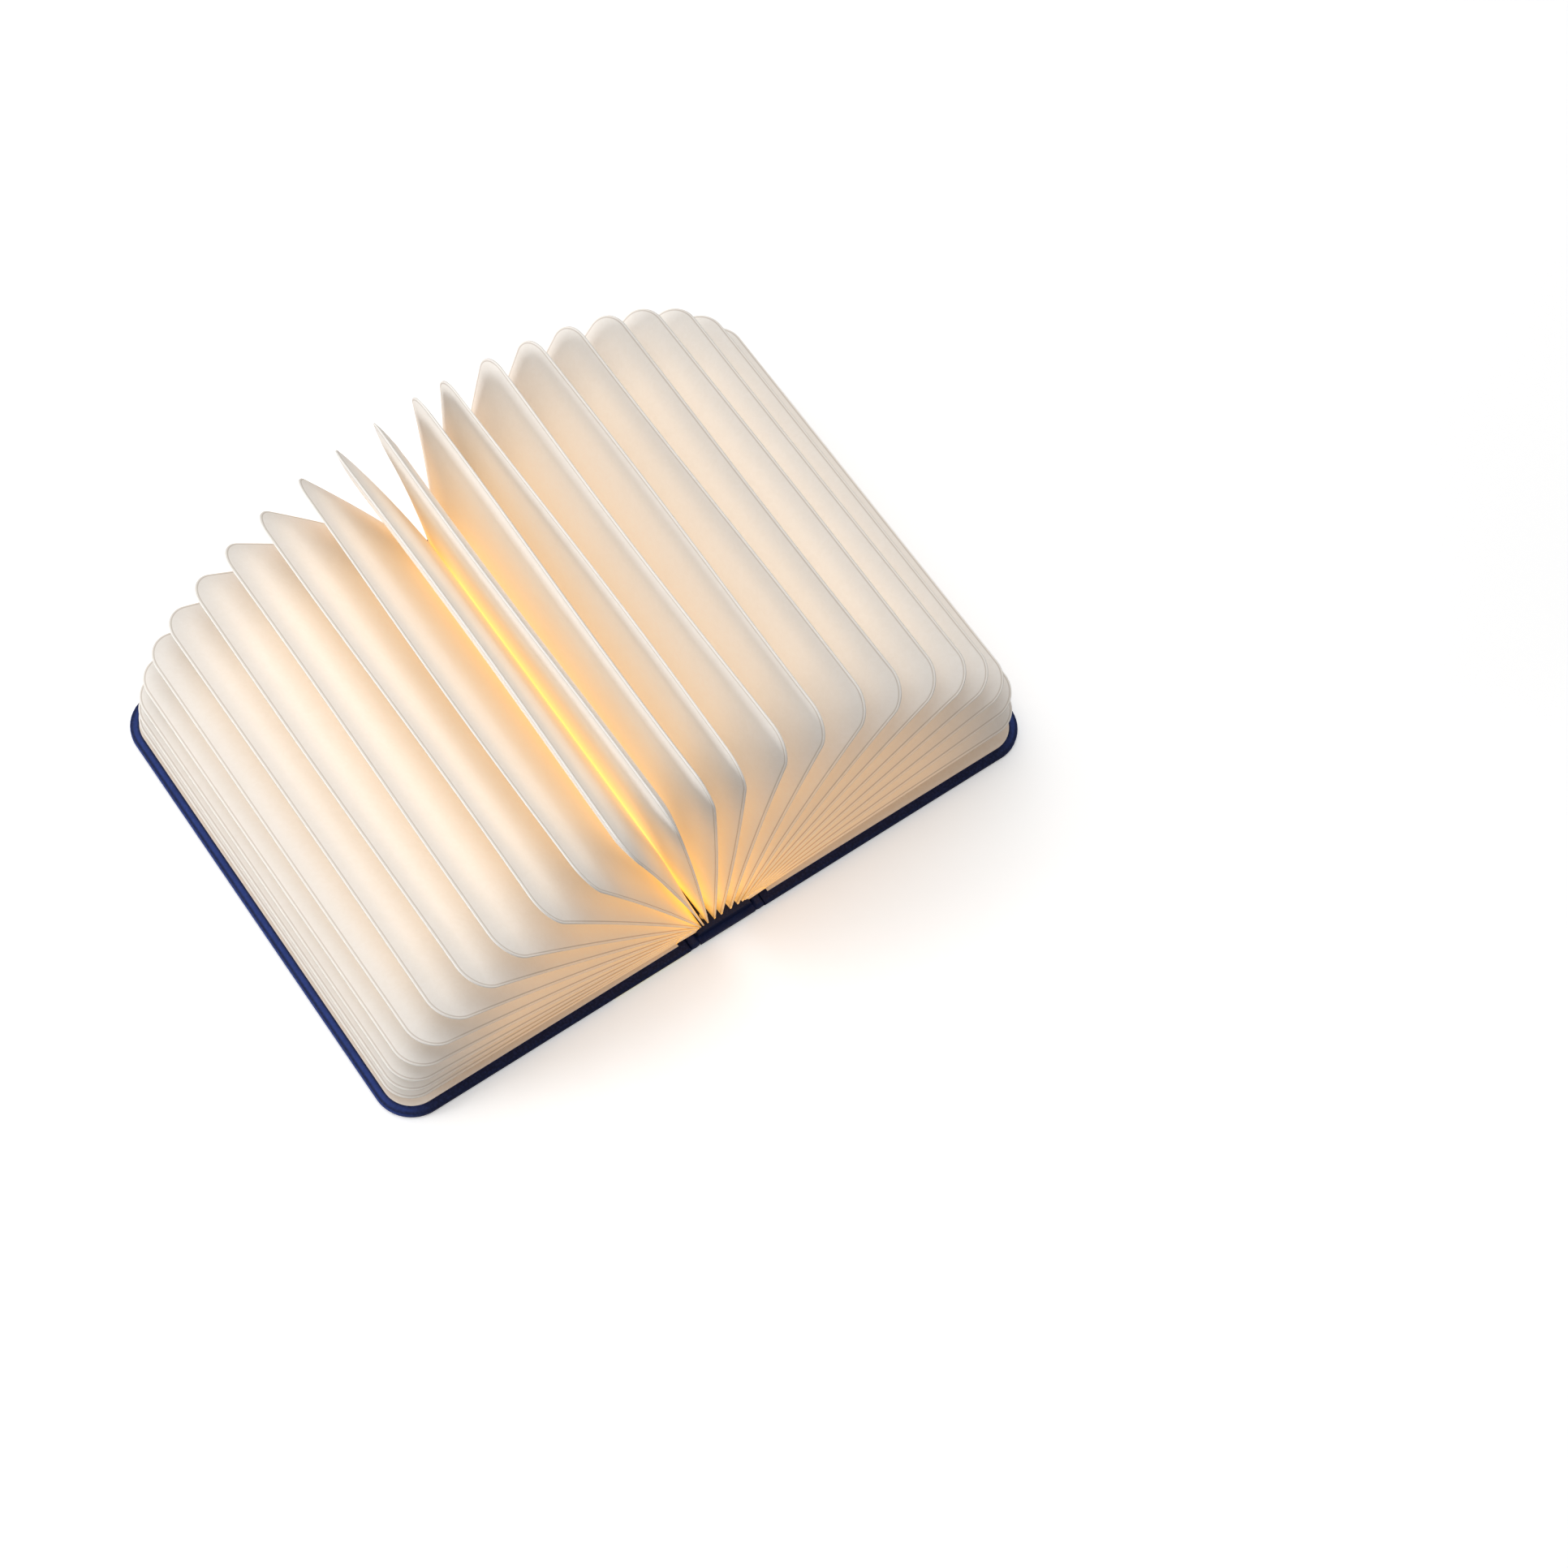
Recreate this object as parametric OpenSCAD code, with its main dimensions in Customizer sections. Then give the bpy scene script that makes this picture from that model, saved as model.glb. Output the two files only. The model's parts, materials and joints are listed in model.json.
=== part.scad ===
// Folding book lamp, lying open on a table with its pages fanned out.
// Millimetres. X runs across the book (front cover at -X, back cover at +X),
// Y runs along the spine, Z is up. The table is the plane z = 0 and the
// origin is below the middle of the spine.

/* [Book] */
// Length of the book along its spine
book_len = 168; // [140:1:220]
// Width of a cover from its hinge line to its fore-edge
cover_w = 110; // [90:1:150]
// Thickness of a finished cover
cover_t = 3; // [2.6:0.1:3.6]
// Radius of a cover's two fore-edge corners
corner_r = 12.8; // [4:0.2:20]
// Distance between the two hinge lines
hinge_span = 24.6; // [23:0.2:36]

/* [Cover layers] */
// Thickness of the leatherette
skin_t = 0.4; // [0.3:0.05:0.5]
// Width of leatherette turned in over a cover's inner face
turn_in = 12; // [6:1:14]
// Thickness of an end sheet
sheet_t = 0.25; // [0.1:0.05:0.35]
// Margin of leatherette that shows round an end sheet
sheet_margin = 3; // [1:0.5:5]
// Width of the cloth band on the front cover, from the hinge line
band_w = 31; // [15:1:70]
// Width of the groove between cloth band and leatherette
band_groove = 0.6; // [0.4:0.1:1.5]
// Radius of the holding magnets near the fore-edge
magnet_r = 4; // [2:0.5:5]
// Thickness of every magnet
magnet_t = 1.4; // [1:0.1:1.5]
// Distance of the holding magnets from the fore-edge
magnet_in = 21; // [20:1:30]
// Distance of the holding magnets from the book's two ends
magnet_end = 26; // [20:1:40]
// Radius of the magnet that works the lamp's sensor
sensor_magnet_r = 3; // [1.5:0.5:4]

/* [Hinges] */
// Depth of the hinge line below a cover's inner face
hinge_drop = 1.1; // [1:0.05:1.3]
// Radius of the roll that a cover turns round
roll_r = 1.4; // [1.2:0.05:1.5]
// Running gap between a roll and the cover's hinge strip
roll_gap = 0.15; // [0.1:0.05:0.25]
// Height of the hinge strip on a cover
strip_h = 2; // [1.4:0.1:2.1]
// Distance of the rolls' ends from the book's two ends
roll_end = 0.5; // [0.2:0.1:2]

/* [Spine] */
// Height of the spine's underside above the table
spine_lift = 0.6; // [0.3:0.1:0.8]
// Thickness of the spine's cloth
cloth_t = 0.35; // [0.2:0.05:0.4]
// Thickness of the spine board
spine_board_t = 1.4; // [1:0.1:2]
// Thickness of the leatherette that lines the spine
lining_t = 0.3; // [0.2:0.05:0.5]

/* [Lamp block] */
// Height of the lamp block above the spine's lining
block_h = 3.2; // [3.1:0.05:3.6]
// Distance of the block's ends from the book's two ends
block_end = 2; // [1:0.5:5]
// Radius of the block's two shoulders
shoulder_r = 2.4; // [1:0.1:2.8]
// Gap between the block and a closed cover's roll
block_gap = 0.6; // [0.4:0.1:1.2]
// Thickness of the housing's floor
floor_t = 0.5; // [0.3:0.05:0.7]
// Thickness of the housing's side walls
wall_t = 1.4; // [1:0.1:1.8]
// Length of the solid end of the housing
end_t = 9; // [5:0.5:10]
// Thickness of the lid
lid_t = 1; // [0.8:0.05:1.2]
// Half the width of the lid's window
window_w = 6; // [4:0.2:6.4]
// Width of the diffuser's edge under the lid
diffuser_lip = 0.7; // [0.4:0.1:1]

/* [Electronics] */
// Width of an LED strip
strip_w = 3.4; // [2.6:0.1:3.6]
// Thickness of the circuit boards
pcb_t = 0.8; // [0.6:0.1:1]
// Number of LEDs on each strip
led_count = 12; // [6:1:18]
// Length of an LED
led_len = 2.8; // [1.6:0.2:3.5]
// Width of an LED
led_w = 2; // [1:0.2:2.4]
// Height of an LED
led_h = 0.6; // [0.3:0.05:0.7]
// Room in the cavity at the battery's near end
battery_room = 11; // [1:0.5:40]
// Length of the control board
board_len = 34; // [20:1:40]
// Length of the leads between battery and control board
lead_len = 5; // [3:0.5:8]
// Radius of a battery lead
lead_r = 0.35; // [0.2:0.05:0.5]
// Width of the charging port
port_w = 7.5; // [7:0.1:8]
// Height of the charging port
port_h = 2.4; // [2.2:0.05:2.6]
// Wall of the charging port's shell
port_wall = 0.25; // [0.2:0.05:0.4]
// Radius of a lid screw's head
head_r = 1.3; // [1:0.1:1.5]
// Radius of a lid screw's shank
shank_r = 0.6; // [0.4:0.05:0.8]

/* [Pages] */
// Distance of the pages' ends from the book's two ends
page_end = 3.5; // [2.5:0.5:12]
// Thickness of a page
page_t = 0.55; // [0.3:0.05:0.55]
// Radius of a page's two outer corners
page_r = 10; // [2:0.5:15]
// Distance of the closed pages from the covers' fore-edges
page_recess = 2.9; // [1:0.1:8]
// Gap between the closed pages and the end sheets
stack_gap = 1.2; // [0.8:0.1:2]
// Height of the middle pages' hinge line above the block
page_lift = 0.2; // [0.1:0.05:0.5]
// Half the width of the middle zone where the pages' hinge lines spread out
spread = 5.8; // [5.4:0.1:5.9]
// Distance of a middle page's root from its hinge line
root_min = 0.5; // [0.4:0.05:0.8]

/* [Hidden] */
// Lean of each page from upright in the open lamp, front cover to back cover
fan = [-88, -85, -81.5, -76.5, -70, -62.5, -54.5, -46.5, -38, -30, -22, -14.5,
       -7, -1, 7, 15, 23, 31, 39.5, 48, 57, 66, 75, 84];
pages = len(fan);
// Hinge lines and covers
hinge_x = hinge_span / 2;
hinge_z = cover_t - hinge_drop;
plate_gap = hinge_z;                    // a cover's board starts here, and clears the spine folded back
plate_x = hinge_x + plate_gap;
edge_x = hinge_x + cover_w;
rim_z = cover_t - sheet_t;              // the inner face under the end sheet
board_z = rim_z - skin_t;               // the board's rim, under the turned-in leatherette
fit = 0.05;                             // clearance round magnets, port and diffuser

// Spine
tongue_h = 1;
tongue_t = 0.25;                        // thickness of cloth or leatherette on the board's edge
spine_half = hinge_x - roll_r - 0.1 - tongue_t;
cloth_z = spine_lift;
sboard_z = cloth_z + cloth_t;
lining_z = sboard_z + spine_board_t;
block_z = lining_z + lining_t;
block_top = block_z + block_h;
sleeve_t = 0.35;

// Lamp block
block_half = hinge_x - roll_r - block_gap;
block_len = book_len - 2 * block_end;
cavity_half = block_half - wall_t;
cavity_len = block_len - 2 * end_t;
cavity_z = block_z + floor_t;
lid_z = block_top - lid_t;
port_z = block_z + 0.25;
screw_x = port_w / 2 + fit + head_r + 0.4;
screw_y = block_len / 2 - end_t / 2;
strip_len = cavity_len - 4;
strip_x = cavity_half - 0.6 - strip_w;  // inner edge of an LED strip
cell_half = strip_x - 0.3;              // half the battery's width
cell_t = lid_z - cavity_z - 0.1;
board_y = cavity_len / 2;               // the control board's far end, at the port
cell_y = board_y - board_len - lead_len;  // the battery's far end, at its leads
battery_len = cell_y + cavity_len / 2 - battery_room;

// Pages
page_len = book_len - 2 * page_end;
stack_half = hinge_x - hinge_drop - sheet_t - stack_gap - page_t / 2;
pitch = 2 * stack_half / (pages - 1);
tip_z = hinge_z + cover_w - page_recess;
pivot_z = block_top + page_lift;
pivot_drop = pivot_z - hinge_z;
root_back = pivot_drop - root_min;      // the closed pages on the back side all clear the block alike
root_front = pivot_drop + 1.35;         // on the front side their roots stay further out
root_max = pivot_drop + 1.05;
function neat(v) = round(v * 100) / 100;                       // to a hundredth of a millimetre
function page_x(i) = neat((i - (pages - 1) / 2) * pitch);     // place in the closed book
function side(i) = fan[i] < 0 ? -1 : 1;
function share(i) = page_x(i) * side(i) > 0 ? min(1, abs(page_x(i)) / spread) : 0;
function pivot(i) = [neat(side(i) * hinge_x * share(i)), neat(pivot_z - pivot_drop * share(i))];
function root(i) = neat(side(i) < 0 ? min(root_max, root_min + root_front * share(i))
                                    : root_min + root_back * share(i));

navy = [0.07, 0.11, 0.27];
yellow = [1, 0.9, 0.05];
grey_board = [0.55, 0.52, 0.47];
cream = [0.93, 0.89, 0.83];
paper = [0.97, 0.93, 0.86];

// ---- Shapes that repeat ----

// Box between two corners
module block(from, to) translate(from) cube(to - from);

// Outline of a leaf with two round outer corners, from x0 to x1
module leaf(x0, x1, length, r)
    difference() {
        translate([x0, -length / 2]) square([x1 - x0, length]);
        for (s = [0, 1]) mirror([0, s]) difference() {
            translate([x1 - r, length / 2 - r]) square(r + 1);
            translate([x1 - r, length / 2 - r]) circle(r = r, $fn = 96);
        }
    }

module slab(x0, x1, length, r, z0, z1)
    translate([0, 0, z0]) linear_extrude(z1 - z0) leaf(x0, x1, length, r);

// A rod along the spine
module rod(r, length, x, z)
    translate([x, 0, z]) rotate([90, 0, 0]) cylinder(r = r, h = length, center = true, $fn = 64);

module magnet_hole(r, x, y, extra)
    translate([x, y, rim_z - magnet_t - extra]) cylinder(r = r + extra, h = magnet_t + 2 * extra, $fn = 48);

module holding_magnets(extra)
    for (s = [-1, 1])
        magnet_hole(magnet_r, edge_x - magnet_in, s * (book_len / 2 - magnet_end), extra);

module sensor_hole(extra)
    magnet_hole(sensor_magnet_r, plate_x + turn_in + 6, book_len / 2 - magnet_end, extra);

// Board of a cover, thinner along its rim where the leatherette is turned in
module board_shape() {
    slab(plate_x + skin_t, edge_x - skin_t, book_len - 2 * skin_t, corner_r - skin_t, skin_t, board_z);
    block([plate_x + turn_in, -book_len / 2 + turn_in, skin_t],
          [edge_x - turn_in, book_len / 2 - turn_in, rim_z]);
}

// Leatherette round a board
module skin_shape()
    difference() {
        slab(plate_x, edge_x, book_len, corner_r, 0, rim_z);
        board_shape();
    }

module sheet_shape()
    slab(plate_x + sheet_margin, edge_x - sheet_margin, book_len - 2 * sheet_margin,
         corner_r - sheet_margin, rim_z, cover_t);

// Strip of leatherette on a cover that runs round the roll
module hinge_strip_shape()
    difference() {
        block([hinge_x + roll_r / 2, -book_len / 2 + roll_end, hinge_z - strip_h / 2],
              [plate_x, book_len / 2 - roll_end, hinge_z + strip_h / 2]);
        rod(roll_r + roll_gap, book_len, hinge_x, hinge_z);
    }

// Tongue that joins a roll to the spine's edge
module tongue(inner)
    block([inner, -book_len / 2 + roll_end, hinge_z - tongue_h / 2],
          [hinge_x - roll_r / 2, book_len / 2 - roll_end, hinge_z + tongue_h / 2]);

// ---- Covers ----

module front_board() color(grey_board) mirror([1, 0, 0])
    difference() {
        board_shape();
        holding_magnets(fit);
    }

module front_skin() color(navy) mirror([1, 0, 0])
    difference() {
        skin_shape();
        block([plate_x - 1, -book_len, -1], [hinge_x + band_w, book_len, skin_t]);
        block([plate_x - 1, -book_len, -1], [hinge_x + band_w + band_groove, book_len, skin_t / 2]);
    }

module front_band() color(yellow) mirror([1, 0, 0])
    block([plate_x, -book_len / 2, 0], [hinge_x + band_w, book_len / 2, skin_t]);

module front_sheet() color(cream) mirror([1, 0, 0]) sheet_shape();

module front_hinge() color(navy) mirror([1, 0, 0]) hinge_strip_shape();

module front_magnets() color("silver") mirror([1, 0, 0]) holding_magnets(0);

module back_board() color(grey_board)
    difference() {
        board_shape();
        holding_magnets(fit);
        sensor_hole(fit);
    }

module back_skin() color(navy) skin_shape();

module back_sheet() color(cream) sheet_shape();

module back_hinge() color(navy) hinge_strip_shape();

module back_magnets() color("silver") holding_magnets(0);

module sensor_magnet() color("silver") sensor_hole(0);

// ---- Spine ----

module spine_board() color(grey_board)
    block([-spine_half, -book_len / 2 + lining_t, sboard_z],
          [spine_half, book_len / 2 - lining_t, lining_z]);

// Leatherette over the board's inner face and round its two ends
module spine_lining() color(navy)
    difference() {
        block([-spine_half, -book_len / 2, sboard_z], [spine_half, book_len / 2, block_z]);
        block([-spine_half - 1, -book_len / 2 + lining_t, sboard_z - 1],
              [spine_half + 1, book_len / 2 - lining_t, lining_z]);
    }

// Sector of the front roll that the cloth covers: its underside and outer side
module sleeve_sector()
    difference() {
        rod(roll_r, book_len - 2 * roll_end, -hinge_x, hinge_z);
        rod(roll_r - sleeve_t, book_len, -hinge_x, hinge_z);
        block([-hinge_x - 2 * roll_r, -book_len, hinge_z + tongue_h / 2],
              [-hinge_x + 2 * roll_r, book_len, hinge_z + 2 * roll_r]);
    }

// Cloth on the spine's outer face, up the board's front edge and round the front roll
module spine_cloth() color(yellow) {
    block([-spine_half - tongue_t, -book_len / 2, cloth_z], [spine_half, book_len / 2, sboard_z]);
    block([-spine_half - tongue_t, -book_len / 2 + roll_end, cloth_z],
          [-spine_half, book_len / 2 - roll_end, hinge_z + tongue_h / 2]);
    difference() {
        mirror([1, 0, 0]) tongue(spine_half);
        rod(roll_r - sleeve_t, book_len, -hinge_x, hinge_z);
    }
    sleeve_sector();
}

module hinge_core_front() color(navy)
    difference() {
        rod(roll_r, book_len - 2 * roll_end, -hinge_x, hinge_z);
        sleeve_sector();
        difference() {
            mirror([1, 0, 0]) tongue(spine_half);
            rod(roll_r - sleeve_t, book_len, -hinge_x, hinge_z);
        }
    }

module hinge_roll_back() color(navy) {
    rod(roll_r, book_len - 2 * roll_end, hinge_x, hinge_z);
    tongue(spine_half);
}

// ---- Lamp block ----

// Cross-section of the block with its two round shoulders, extruded along the spine
module block_shape(z0, z1)
    intersection() {
        rotate([90, 0, 0]) linear_extrude(block_len, center = true) {
            translate([-block_half, block_z]) square([2 * block_half, block_h - shoulder_r]);
            translate([-block_half + shoulder_r, block_z])
                square([2 * (block_half - shoulder_r), block_h]);
            for (s = [-1, 1])
                translate([s * (block_half - shoulder_r), block_top - shoulder_r])
                    circle(r = shoulder_r, $fn = 64);
        }
        block([-block_half - 1, -block_len, z0], [block_half + 1, block_len, z1]);
    }

module port_pocket(extra)
    block([-port_w / 2 - extra, cavity_len / 2 - 1, port_z - extra],
          [port_w / 2 + extra, block_len / 2 + 1, port_z + port_h + extra]);

module screw_shape(extra)
    for (x = [-screw_x, screw_x], y = [-screw_y, screw_y]) translate([x, y, 0]) {
        translate([0, 0, block_top - lid_t / 2]) cylinder(r = head_r + extra, h = lid_t, $fn = 32);
        translate([0, 0, cavity_z]) cylinder(r = shank_r + extra, h = block_h, $fn = 32);
    }

module lamp_housing() color(navy)
    difference() {
        block_shape(block_z, lid_z);
        block([-cavity_half, -cavity_len / 2, cavity_z], [cavity_half, cavity_len / 2, lid_z + 1]);
        port_pocket(fit);
        screw_shape(0);
    }

module lamp_lid() color(navy)
    difference() {
        block_shape(lid_z, block_top);
        block([-window_w, -strip_len / 2, lid_z - 1], [window_w, strip_len / 2, block_top + 1]);
        block([-window_w - diffuser_lip, -strip_len / 2 - diffuser_lip, lid_z - 1],
              [window_w + diffuser_lip, strip_len / 2 + diffuser_lip, lid_z + lid_t / 2]);
        port_pocket(fit);
        screw_shape(0);
    }

module diffuser() color([1, 0.96, 0.85]) {
    block([-window_w + fit, -strip_len / 2 + fit, lid_z], [window_w - fit, strip_len / 2 - fit, block_top - 0.1]);
    block([-window_w - diffuser_lip + fit, -strip_len / 2 - diffuser_lip + fit, lid_z],
          [window_w + diffuser_lip - fit, strip_len / 2 + diffuser_lip - fit, lid_z + lid_t / 2]);
}

module led_strip(s) color("white")
    block([min(s * strip_x, s * (strip_x + strip_w)), -strip_len / 2, cavity_z],
          [max(s * strip_x, s * (strip_x + strip_w)), strip_len / 2, cavity_z + pcb_t]);

module leds(s) color([1, 0.85, 0.4])
    for (k = [0 : led_count - 1])
        translate([s * (strip_x + strip_w / 2), (k + 0.5) / led_count * strip_len - strip_len / 2,
                   cavity_z + pcb_t + led_h / 2])
            cube([led_w, led_len, led_h], center = true);

module led_strip_left() led_strip(-1);
module led_strip_right() led_strip(1);
module leds_left() leds(-1);
module leds_right() leds(1);

module battery() color([0.62, 0.63, 0.66])
    block([-cell_half, cell_y - battery_len, cavity_z], [cell_half, cell_y, cavity_z + cell_t]);

module battery_leads() color([0.7, 0.1, 0.1])
    for (x = [-2, 2])
        translate([x, cell_y + lead_len, cavity_z + pcb_t / 2]) rotate([90, 0, 0])
            cylinder(r = lead_r, h = lead_len, $fn = 24);

// The board reaches from one LED strip to the other and carries the port at its far end
module control_board() color([0.1, 0.35, 0.2])
    block([-strip_x, board_y - board_len, cavity_z], [strip_x, board_y, cavity_z + pcb_t]);

module hall_sensor() color([0.15, 0.15, 0.15])
    block([-1.5, board_y - board_len / 2 - 0.8, cavity_z + pcb_t],
          [1.5, board_y - board_len / 2 + 0.8, cavity_z + pcb_t + 0.6]);

module usb_shell() color("silver")
    difference() {
        block([-port_w / 2, cavity_len / 2, port_z], [port_w / 2, block_len / 2, port_z + port_h]);
        block([-port_w / 2 + port_wall, cavity_len / 2 + 1, port_z + port_wall],
              [port_w / 2 - port_wall, block_len / 2 + 1, port_z + port_h - port_wall]);
    }

module usb_tongue() color([0.12, 0.12, 0.12])
    block([-port_w / 4, cavity_len / 2 + 1, port_z + port_h / 2 - 0.3],
          [port_w / 4, block_len / 2 - 1, port_z + port_h / 2 + 0.3]);

module lid_screws() color("silver")
    intersection() {
        screw_shape(0);
        block([-block_half, -block_len, cavity_z], [block_half, block_len, block_top]);
    }

// ---- Pages ----

// A page turns about its own hinge line along Y. Its plane lies beside that line,
// so that the closed pages stand side by side.
module page(i) color(paper)
    translate([pivot(i)[0], 0, pivot(i)[1]]) rotate([0, fan[i] - 90, 0])
        slab(root(i), tip_z - pivot(i)[1], page_len, page_r,
             pivot(i)[0] - page_x(i) - page_t / 2, pivot(i)[0] - page_x(i) + page_t / 2);

module page_01() page(0);
module page_02() page(1);
module page_03() page(2);
module page_04() page(3);
module page_05() page(4);
module page_06() page(5);
module page_07() page(6);
module page_08() page(7);
module page_09() page(8);
module page_10() page(9);
module page_11() page(10);
module page_12() page(11);
module page_13() page(12);
module page_14() page(13);
module page_15() page(14);
module page_16() page(15);
module page_17() page(16);
module page_18() page(17);
module page_19() page(18);
module page_20() page(19);
module page_21() page(20);
module page_22() page(21);
module page_23() page(22);
module page_24() page(23);

spine_board();
spine_lining();
spine_cloth();
hinge_core_front();
hinge_roll_back();
lamp_housing();
lamp_lid();
diffuser();
led_strip_left();
led_strip_right();
leds_left();
leds_right();
battery();
battery_leads();
control_board();
hall_sensor();
usb_shell();
usb_tongue();
lid_screws();
front_board();
front_skin();
front_band();
front_sheet();
front_hinge();
front_magnets();
back_board();
back_skin();
back_sheet();
back_hinge();
back_magnets();
sensor_magnet();
page_01();
page_02();
page_03();
page_04();
page_05();
page_06();
page_07();
page_08();
page_09();
page_10();
page_11();
page_12();
page_13();
page_14();
page_15();
page_16();
page_17();
page_18();
page_19();
page_20();
page_21();
page_22();
page_23();
page_24();
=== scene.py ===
"""Folding book lamp, open on a table: its looks over the CAD frame.

Covers, cloth, hinges and pages are meshes made by formula from the frame's nodes and joints. The lamp
block, the boards and everything inside keep their CAD meshes and get finishes."""

import json
import math

import bpy
import numpy as np
from bpy.props import FloatProperty, FloatVectorProperty, PointerProperty
from mathutils import Matrix, Vector


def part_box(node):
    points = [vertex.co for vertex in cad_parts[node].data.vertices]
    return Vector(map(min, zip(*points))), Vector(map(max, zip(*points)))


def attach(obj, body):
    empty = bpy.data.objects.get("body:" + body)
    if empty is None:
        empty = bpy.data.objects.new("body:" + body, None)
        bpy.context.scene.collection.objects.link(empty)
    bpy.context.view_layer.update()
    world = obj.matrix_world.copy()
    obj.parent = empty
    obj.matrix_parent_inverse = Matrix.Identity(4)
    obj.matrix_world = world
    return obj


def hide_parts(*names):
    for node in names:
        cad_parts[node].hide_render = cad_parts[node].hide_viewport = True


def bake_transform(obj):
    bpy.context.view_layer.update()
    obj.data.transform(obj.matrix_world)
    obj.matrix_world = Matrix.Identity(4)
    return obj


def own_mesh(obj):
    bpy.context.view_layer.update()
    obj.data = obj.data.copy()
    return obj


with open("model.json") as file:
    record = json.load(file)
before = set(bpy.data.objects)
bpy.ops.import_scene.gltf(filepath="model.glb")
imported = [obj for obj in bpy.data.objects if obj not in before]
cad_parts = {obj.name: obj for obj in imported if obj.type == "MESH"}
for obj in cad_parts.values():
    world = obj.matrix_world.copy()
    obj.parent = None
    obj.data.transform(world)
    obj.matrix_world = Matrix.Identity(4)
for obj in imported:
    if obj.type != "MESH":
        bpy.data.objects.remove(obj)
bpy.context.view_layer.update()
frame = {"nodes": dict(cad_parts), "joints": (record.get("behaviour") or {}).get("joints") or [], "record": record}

bl_info = {
    "name": "Folding Book Lamp",
    "version": (1, 0, 0),
    "blender": (4, 5, 0),
    "location": "View3D > Sidebar > Book Lamp",
    "description": "Dresses the frame of a folding book lamp in leatherette, cloth and glowing paper",
    "category": "Add Mesh",
}

MM = 0.001
WHITE = (1.0, 1.0, 1.0)
JOINTS = {joint["name"]: joint for joint in frame["joints"]}
COUPLINGS = {c["joint"]: c for c in frame["record"]["behaviour"]["couplings"]}
PAGES = sorted(name for name in frame["nodes"] if name.startswith("page_"))


# ---------------------------------------------------------------- places read from the frame


def low(node):
    """Lowest corner of a CAD node's box."""
    return np.array(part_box(node)[0])


def high(node):
    """Highest corner of a CAD node's box."""
    return np.array(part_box(node)[1])


BOOK_LENGTH = float(high("back_skin")[1] - low("back_skin")[1])
PLATE_X = float(low("back_skin")[0])
COVER_EDGE_X = float(high("back_skin")[0])
RIM_Z = float(high("back_skin")[2])
SHEET_Z = float(high("back_sheet")[2])
SHEET_MARGIN = COVER_EDGE_X - float(high("back_sheet")[0])
BAND_X = float(-low("front_band")[0])
BAND_Z = float(high("front_band")[2])
HINGE_X = float(JOINTS["back_cover_hinge"]["pos_m"][0])
HINGE_Z = float(JOINTS["back_cover_hinge"]["pos_m"][2])
SPINE_HALF = float(high("spine_board")[0])
SPINE_Z = float(low("spine_cloth")[2])
SPINE_CLOTH_Z = float(low("spine_board")[2])
BLOCK_HALF = float(high("lamp_housing")[0])
BLOCK_TOP = float(high("lamp_lid")[2])
LINING_TOP = float(high("spine_lining")[2])
PAGE_HALF = float(high(PAGES[0])[1])

# Small shapes that the frame's boxes don't tell
SHOULDER = 2.4 * MM       # radius of the lamp block's two shoulders
BAND_GROOVE = 0.6 * MM    # width of the groove between the cloth band and the leatherette
GROOVE_Z = 0.22 * MM      # height of that groove's floor
INNER_ROUND = 0.6 * MM    # rounding of a cover's inner edge
FOLD_ROUND = 0.5 * MM     # rounding of the leatherette under the cloth band
ROLL_RADIUS = 1.8 * MM    # radius of a soft hinge roll
STEP = 0.02 * MM          # width over which a surface steps from one height to another


# ---------------------------------------------------------------- settings


class BookLampCovers(bpy.types.PropertyGroup):
    """Leatherette and cloth of the covers and the spine."""

    leather: FloatVectorProperty(
        name="Leatherette", description="Colour of the leatherette", subtype="COLOR",
        size=3, min=0, max=1, default=(0.0030, 0.0078, 0.042),
    )
    leather_light: FloatVectorProperty(
        name="Leatherette peaks", description="Colour on the raised grain", subtype="COLOR",
        size=3, min=0, max=1, default=(0.0062, 0.0150, 0.074),
    )
    # painted highlight: lighter blue for the covers' rounded rims, where light catches them
    rim_highlight: FloatVectorProperty(
        name="Leatherette rim highlight", description="Painted highlight colour along the leatherette's rounded rims",
        subtype="COLOR", size=3, min=0, max=1, default=(0.034, 0.074, 0.34),
    )
    grain: FloatProperty(
        name="Grain size", description="Width of one pebble of the grain", subtype="DISTANCE",
        unit="LENGTH", default=0.75 * MM, min=0.2 * MM, max=3 * MM,
    )
    cloth: FloatVectorProperty(
        name="Book cloth", description="Colour of the cloth on spine and band", subtype="COLOR",
        size=3, min=0, max=1, default=(0.98, 0.80, 0.004),
    )
    thread: FloatProperty(
        name="Thread pitch", description="Distance between two threads of the cloth",
        subtype="DISTANCE", unit="LENGTH", default=0.5 * MM, min=0.2 * MM, max=2 * MM,
    )
    corner: FloatProperty(
        name="Corner radius", description="Radius of a cover's fore-edge corners",
        subtype="DISTANCE", unit="LENGTH", default=12.8 * MM, min=1 * MM, max=30 * MM,
    )
    rim: FloatProperty(
        name="Rim radius", description="Rounding of a cover's outer edge", subtype="DISTANCE",
        unit="LENGTH", default=0.9 * MM, min=0.1 * MM, max=1.3 * MM,
    )


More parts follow.
